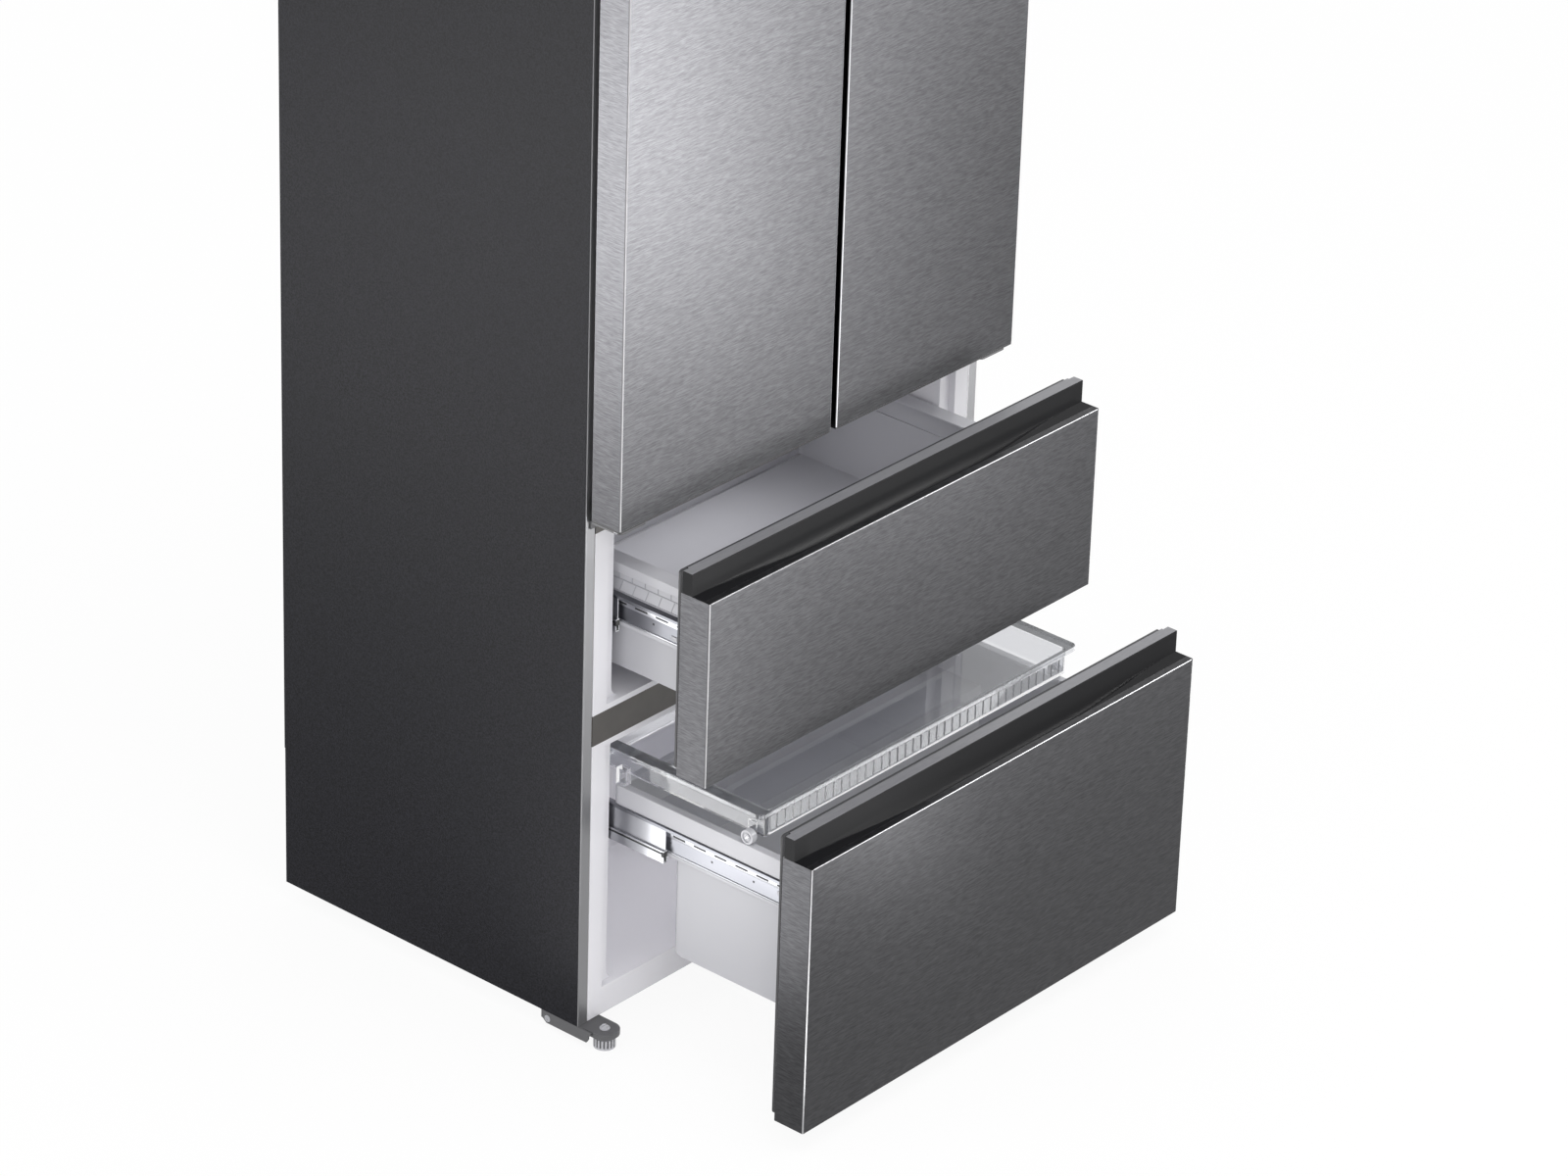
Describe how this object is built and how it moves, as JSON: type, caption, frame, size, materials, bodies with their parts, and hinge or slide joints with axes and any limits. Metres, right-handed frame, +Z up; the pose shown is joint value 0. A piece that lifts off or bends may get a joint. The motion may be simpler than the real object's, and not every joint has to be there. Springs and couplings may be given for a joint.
{
  "type": "french door fridge freezer with two freezer drawers",
  "caption": "Free-standing French-door fridge freezer with stainless doors, two pull-out freezer drawers, scoop handles and a clear sliding tray.",
  "frame": {"origin": "middle of the footprint of the bounding box at the floor, in the rest pose with both freezer drawers pulled out", "axes": "+Z up, -Y towards the front of the doors, +X to the right seen from the front"},
  "size_m": [0.912, 1.097, 1.785],
  "materials": {
    "case_paint": "satin, fine leather grain",
    "stainless": "horizontally brushed",
    "zinc": "zinc plated",
    "liner": "soft gloss",
    "clear_plastic": "clear",
    "frosted_plastic": "translucent",
    "handle": "satin",
    "black_plastic": "matte",
    "white_plastic": "matte",
    "gasket": "soft matte",
    "foam": "foamed",
    "glass": "clear",
    "aluminium": "bare",
    "black_steel": "satin"
  },
  "bodies": {
    "cabinet": {"left_side_panel": "case_paint", "right_side_panel": "case_paint", "top_panel": "case_paint", "back_panel": "case_paint", "base_chassis": "zinc", "front_mullions": "case_paint", "left_fridge_liner": "liner", "right_fridge_liner": "liner", "upper_freezer_liner": "liner", "lower_freezer_liner": "liner", "cabinet_foam": "foam", "top_hinges": "zinc", "top_hinge_covers": "black_plastic", "centre_hinges": "case_paint", "foot_brackets": "zinc", "case_screws": "zinc", "fixed_rails": "zinc", "compressor": "black_steel", "condenser_coil": "black_steel", "drain_pan": "black_plastic", "machine_cover": "zinc", "evaporator": "aluminium", "air_duct_covers": "liner", "glass_shelves": "glass"},
    "condenser_fan": {"condenser_fan": "black_plastic"},
    "freezer_fan": {"freezer_fan": "black_plastic"},
    "left_foot": {"left_front_foot": "white_plastic"},
    "right_foot": {"right_front_foot": "white_plastic"},
    "left_roller": {"left_rear_roller": "black_plastic"},
    "right_roller": {"right_rear_roller": "black_plastic"},
    "left_crisper": {"left_crisper": "clear_plastic"},
    "right_crisper": {"right_crisper": "clear_plastic"},
    "left_door": {"left_door_skin": "stainless", "left_door_caps": "black_plastic", "left_door_liner": "liner", "left_door_gasket": "gasket", "left_door_bins": "clear_plastic"},
    "right_door": {"right_door_skin": "stainless", "right_door_caps": "black_plastic", "right_door_liner": "liner", "right_door_gasket": "gasket", "right_door_bins": "clear_plastic"},
    "upper_drawer": {"upper_front_skin": "stainless", "upper_handle": "handle", "upper_front_liner": "liner", "upper_gasket": "gasket", "upper_bin": "frosted_plastic", "upper_bin_rim": "liner", "upper_drawer_rails": "zinc"},
    "lower_drawer": {"lower_front_skin": "stainless", "lower_handle": "handle", "lower_front_liner": "liner", "lower_gasket": "gasket", "lower_bin": "frosted_plastic", "lower_bin_rim": "liner", "lower_drawer_rails": "zinc"},
    "upper_middle": {"upper_mid_rails": "zinc"},
    "lower_middle": {"lower_mid_rails": "zinc"},
    "tray": {"clear_tray": "clear_plastic"},
    "tray_rollers": {"tray_rollers": "white_plastic"}
  },
  "joints": [
    {"name": "left_door_hinge", "type": "hinge", "parent": "cabinet", "child": "left_door", "pos_m": [-0.4305, -0.1265, 1.34], "axis": [0, 0, -1], "range_deg": [0, 115]},
    {"name": "right_door_hinge", "type": "hinge", "parent": "cabinet", "child": "right_door", "pos_m": [0.4305, -0.1265, 1.34], "axis": [0, 0, 1], "range_deg": [0, 115]},
    {"name": "upper_drawer_slide", "type": "slide", "parent": "cabinet", "child": "upper_drawer", "axis": [0, -1, 0], "range_m": [-0.179, 0.221]},
    {"name": "lower_drawer_slide", "type": "slide", "parent": "cabinet", "child": "lower_drawer", "axis": [0, -1, 0], "range_m": [-0.392, 0.02]},
    {"name": "upper_middle_slide", "type": "slide", "parent": "cabinet", "child": "upper_middle", "axis": [0, -1, 0], "range_m": [-0.0895, 0.1105]},
    {"name": "lower_middle_slide", "type": "slide", "parent": "cabinet", "child": "lower_middle", "axis": [0, -1, 0], "range_m": [-0.196, 0.01]},
    {"name": "tray_slide", "type": "slide", "parent": "lower_drawer", "child": "tray", "axis": [0, -1, 0], "range_m": [0, 0.095]},
    {"name": "tray_roller_spin", "type": "hinge", "parent": "tray", "child": "tray_rollers", "pos_m": [0, -0.3465, 0.43745], "axis": [1, 0, 0], "continuous": true},
    {"name": "left_crisper_slide", "type": "slide", "parent": "cabinet", "child": "left_crisper", "axis": [0, -1, 0], "range_m": [0, 0.05]},
    {"name": "right_crisper_slide", "type": "slide", "parent": "cabinet", "child": "right_crisper", "axis": [0, -1, 0], "range_m": [0, 0.05]},
    {"name": "left_foot_turn", "type": "hinge", "parent": "cabinet", "child": "left_foot", "pos_m": [-0.429, -0.1205, 0.01], "axis": [0, 0, 1], "continuous": true},
    {"name": "right_foot_turn", "type": "hinge", "parent": "cabinet", "child": "right_foot", "pos_m": [0.429, -0.1205, 0.01], "axis": [0, 0, 1], "continuous": true},
    {"name": "left_roller_spin", "type": "hinge", "parent": "cabinet", "child": "left_roller", "pos_m": [-0.411, 0.4885, 0.015], "axis": [1, 0, 0], "continuous": true},
    {"name": "right_roller_spin", "type": "hinge", "parent": "cabinet", "child": "right_roller", "pos_m": [0.411, 0.4885, 0.015], "axis": [1, 0, 0], "continuous": true},
    {"name": "condenser_fan_spin", "type": "hinge", "parent": "cabinet", "child": "condenser_fan", "pos_m": [-0.07, 0.3865, 0.159], "axis": [1, 0, 0], "continuous": true},
    {"name": "freezer_fan_spin", "type": "hinge", "parent": "cabinet", "child": "freezer_fan", "pos_m": [0, 0.4315, 0.76425], "axis": [0, 1, 0], "continuous": true}
  ],
  "couplings": [
    {"joint": "upper_middle_slide", "follows": "upper_drawer_slide", "ratio": 0.5},
    {"joint": "lower_middle_slide", "follows": "lower_drawer_slide", "ratio": 0.5}
  ]
}
